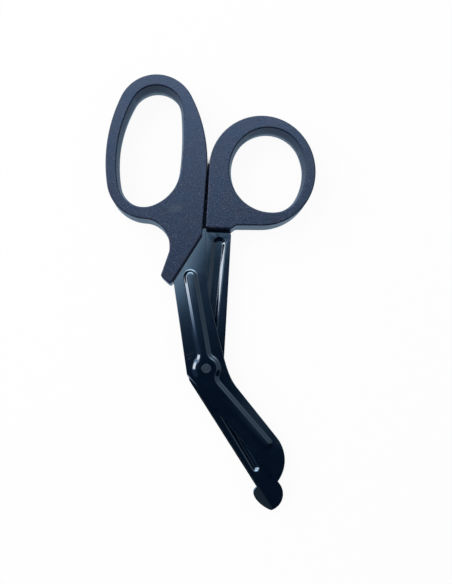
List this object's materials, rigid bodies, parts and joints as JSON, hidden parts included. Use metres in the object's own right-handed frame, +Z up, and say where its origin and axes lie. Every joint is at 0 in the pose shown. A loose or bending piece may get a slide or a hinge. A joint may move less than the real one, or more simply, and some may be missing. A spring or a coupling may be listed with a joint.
{
  "type": "bandage scissors",
  "caption": "Angled bandage scissors with ribbed steel blades, a blunt folded foot, a long finger loop and a round thumb loop, hinged at a rivet.",
  "frame": {"origin": "on the table under the middle of the closed scissors' box", "axes": "+Z up out of the table on the front blade's side, +Y from the blades to the handles, +X to the thumb loop"},
  "size_m": [0.091, 0.1898, 0.01],
  "materials": {
    "blade_steel": "glossy black coating on stamped steel",
    "handle_plastic": "fine spark-eroded grain, matte blue-black",
    "rivet_steel": "satin black coating, worn at the set end"
  },
  "bodies": {
    "finger_half": {"front_blade": "blade_steel", "finger_handle": "handle_plastic", "pivot_rivet": "rivet_steel"},
    "thumb_half": {"rear_blade": "blade_steel", "thumb_handle": "handle_plastic"}
  },
  "joints": [
    {"name": "blade_pivot", "type": "hinge", "parent": "finger_half", "child": "thumb_half", "pos_m": [-0.00178, -0.0325, 0.005], "axis": [0, 0, -1], "range_deg": [0, 165]}
  ]
}
